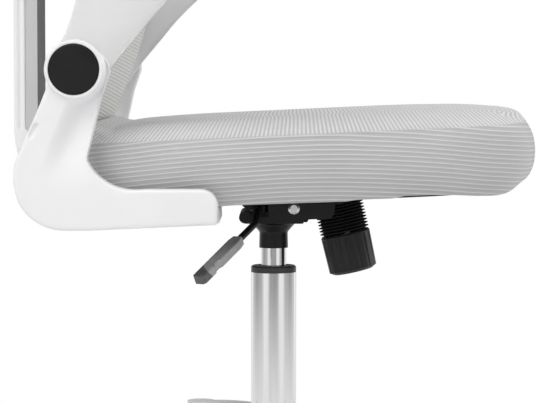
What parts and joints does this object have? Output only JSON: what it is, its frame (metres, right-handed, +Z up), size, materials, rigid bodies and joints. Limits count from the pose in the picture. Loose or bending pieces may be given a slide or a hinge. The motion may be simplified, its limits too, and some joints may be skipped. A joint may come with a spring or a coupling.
{
  "type": "office chair",
  "caption": "Task chair with ribbed mesh seat and back, white flip-up arms, height lever, tilt mechanism with tension knob, gas column and star base on casters.",
  "frame": {"origin": "on the floor under the gas column's axis", "axes": "+X to the chair's front, +Y to the sitter's left, +Z up"},
  "size_m": [0.5996, 0.5974, 1.0048],
  "materials": {
    "white_plastic": "gloss",
    "grey_fabric": "ribbed mesh weave",
    "back_mesh": "ribbed open mesh",
    "chrome": "polished",
    "bright_steel": "zinc plated",
    "black_steel": "satin powder coat",
    "black_plastic": "matte",
    "bellows_rubber": "matte",
    "pan_plastic": "matte",
    "lever_plastic": "matte",
    "panel_plastic": "satin",
    "pad_soft": "soft touch",
    "wheel_rubber": "matte"
  },
  "bodies": {
    "base": {"star_base": "white_plastic", "column_tube": "chrome", "guide_bush": "black_plastic", "thrust_bearing": "bright_steel"},
    "swivel": {"gas_rod": "bright_steel", "rod_clip": "bright_steel"},
    "lift": {"gas_cylinder": "chrome", "column_bracket": "black_steel"},
    "valve": {"valve_pin": "bright_steel"},
    "lever_yoke": {"lever_pivot": "black_plastic"},
    "lever": {"lever_rod": "black_steel", "lever_handle": "lever_plastic"},
    "seat": {"tilt_housing": "black_steel", "tilt_axle": "bright_steel", "seat_pan": "pan_plastic", "seat_cushion": "grey_fabric", "seat_bolts": "black_steel", "arm_bracket_right": "white_plastic", "arm_bracket_left": "white_plastic", "pivot_caps": "black_plastic", "pivot_bolts": "bright_steel", "back_spine": "white_plastic", "spine_cover": "panel_plastic", "back_brace": "white_plastic", "back_frame": "white_plastic", "back_mesh": "back_mesh", "back_screws": "black_steel", "tension_bolt": "bright_steel"},
    "tension_carriage": {"spring_cup": "black_plastic", "bellows": "bellows_rubber", "tension_spring": "black_steel"},
    "knob": {"tension_knob": "black_plastic", "knob_nut": "bright_steel"},
    "arm_right": {"arm_right": "white_plastic", "arm_bush_right": "black_plastic", "arm_pad_right": "pad_soft"},
    "arm_left": {"arm_left": "white_plastic", "arm_bush_left": "black_plastic", "arm_pad_left": "pad_soft"},
    "caster_1": {"caster_hood_1": "black_plastic", "caster_pins_1": "bright_steel"},
    "wheel_right_1": {"wheel_right_1": "wheel_rubber"},
    "wheel_left_1": {"wheel_left_1": "wheel_rubber"},
    "caster_2": {"caster_hood_2": "black_plastic", "caster_pins_2": "bright_steel"},
    "wheel_right_2": {"wheel_right_2": "wheel_rubber"},
    "wheel_left_2": {"wheel_left_2": "wheel_rubber"},
    "caster_3": {"caster_hood_3": "black_plastic", "caster_pins_3": "bright_steel"},
    "wheel_right_3": {"wheel_right_3": "wheel_rubber"},
    "wheel_left_3": {"wheel_left_3": "wheel_rubber"},
    "caster_4": {"caster_hood_4": "black_plastic", "caster_pins_4": "bright_steel"},
    "wheel_right_4": {"wheel_right_4": "wheel_rubber"},
    "wheel_left_4": {"wheel_left_4": "wheel_rubber"},
    "caster_5": {"caster_hood_5": "black_plastic", "caster_pins_5": "bright_steel"},
    "wheel_right_5": {"wheel_right_5": "wheel_rubber"},
    "wheel_left_5": {"wheel_left_5": "wheel_rubber"}
  },
  "joints": [
    {"name": "seat_swivel", "type": "hinge", "parent": "base", "child": "swivel", "pos_m": [0, 0, 0.1], "axis": [0, 0, 1], "continuous": true},
    {"name": "height_slide", "type": "slide", "parent": "swivel", "child": "lift", "axis": [0, 0, 1], "range_m": [0, 0.1]},
    {"name": "tilt", "type": "hinge", "parent": "lift", "child": "seat", "pos_m": [0.0224, 0, 0.3535], "axis": [0, -1, 0], "range_deg": [0, 12], "stiffness_Nm_per_rad": 160, "springref_deg": -11.46, "deforming": ["bellows", "tension_spring"]},
    {"name": "tension_slide", "type": "slide", "parent": "seat", "child": "tension_carriage", "axis": [0.2198, 0, -0.9755], "range_m": [0, 0.006]},
    {"name": "knob_turn", "type": "hinge", "parent": "tension_carriage", "child": "knob", "pos_m": [0.0716, 0, 0.3566], "axis": [0.2198, 0, -0.9755], "range_deg": [0, 1441]},
    {"name": "lever_lift", "type": "hinge", "parent": "lift", "child": "lever_yoke", "pos_m": [-0.0162, -0.031, 0.3442], "axis": [-1, 0, 0], "range_deg": [0, 5], "stiffness_Nm_per_rad": 4, "springref_deg": -2.86},
    {"name": "lever_pull", "type": "slide", "parent": "lever_yoke", "child": "lever", "axis": [0, -1, 0], "range_m": [0, 0.008]},
    {"name": "valve_press", "type": "slide", "parent": "lift", "child": "valve", "axis": [0, 0, -1], "range_m": [0, 0.0035]},
    {"name": "arm_right_flip", "type": "hinge", "parent": "seat", "child": "arm_right", "pos_m": [-0.19634, -0.24, 0.50583], "axis": [0, -1, 0], "range_deg": [0, 90]},
    {"name": "arm_left_flip", "type": "hinge", "parent": "seat", "child": "arm_left", "pos_m": [-0.19634, 0.24, 0.50583], "axis": [0, -1, 0], "range_deg": [0, 90]},
    {"name": "caster_swivel_1", "type": "hinge", "parent": "base", "child": "caster_1", "pos_m": [-0.09023, 0.27771, 0.072], "axis": [0, 0, 1], "continuous": true},
    {"name": "wheel_spin_right_1", "type": "hinge", "parent": "caster_1", "child": "wheel_right_1", "pos_m": [-0.06331, 0.2837, 0.03], "axis": [-0.2924, -0.9563, 0], "continuous": true},
    {"name": "wheel_spin_left_1", "type": "hinge", "parent": "caster_1", "child": "wheel_left_1", "pos_m": [-0.07126, 0.25769, 0.03], "axis": [-0.2924, -0.9563, 0], "continuous": true},
    {"name": "caster_swivel_2", "type": "hinge", "parent": "base", "child": "caster_2", "pos_m": [-0.292, 0, 0.072], "axis": [0, 0, 1], "continuous": true},
    {"name": "wheel_spin_right_2", "type": "hinge", "parent": "caster_2", "child": "wheel_right_2", "pos_m": [-0.28937, 0.02746, 0.03], "axis": [0.8192, -0.5736, 0], "continuous": true},
    {"name": "wheel_spin_left_2", "type": "hinge", "parent": "caster_2", "child": "wheel_left_2", "pos_m": [-0.26709, 0.01186, 0.03], "axis": [0.8192, -0.5736, 0], "continuous": true},
    {"name": "caster_swivel_3", "type": "hinge", "parent": "base", "child": "caster_3", "pos_m": [-0.09023, -0.27771, 0.072], "axis": [0, 0, 1], "continuous": true},
    {"name": "wheel_spin_right_3", "type": "hinge", "parent": "caster_3", "child": "wheel_right_3", "pos_m": [-0.11554, -0.26673, 0.03], "axis": [0.7986, 0.6018, 0], "continuous": true},
    {"name": "wheel_spin_left_3", "type": "hinge", "parent": "caster_3", "child": "wheel_left_3", "pos_m": [-0.09381, -0.25036, 0.03], "axis": [0.7986, 0.6018, 0], "continuous": true},
    {"name": "caster_swivel_4", "type": "hinge", "parent": "base", "child": "caster_4", "pos_m": [0.23623, -0.17163, 0.072], "axis": [0, 0, 1], "continuous": true},
    {"name": "wheel_spin_right_4", "type": "hinge", "parent": "caster_4", "child": "wheel_right_4", "pos_m": [0.21797, -0.19231, 0.03], "axis": [-0.3256, 0.9455, 0], "continuous": true},
    {"name": "wheel_spin_left_4", "type": "hinge", "parent": "caster_4", "child": "wheel_left_4", "pos_m": [0.20911, -0.16659, 0.03], "axis": [-0.3256, 0.9455, 0], "continuous": true},
    {"name": "caster_swivel_5", "type": "hinge", "parent": "base", "child": "caster_5", "pos_m": [0.23623, 0.17163, 0.072], "axis": [0, 0, 1], "continuous": true},
    {"name": "wheel_spin_right_5", "type": "hinge", "parent": "caster_5", "child": "wheel_right_5", "pos_m": [0.25025, 0.14787, 0.03], "axis": [-0.9998, -0.0175, 0], "continuous": true},
    {"name": "wheel_spin_left_5", "type": "hinge", "parent": "caster_5", "child": "wheel_left_5", "pos_m": [0.22305, 0.1474, 0.03], "axis": [-0.9998, -0.0175, 0], "continuous": true}
  ],
  "couplings": [
    {"joint": "knob_turn", "follows": "tension_slide", "rad_per_m": 4188.8},
    {"joint": "valve_press", "follows": "lever_lift", "m_per_rad": 0.0345}
  ]
}
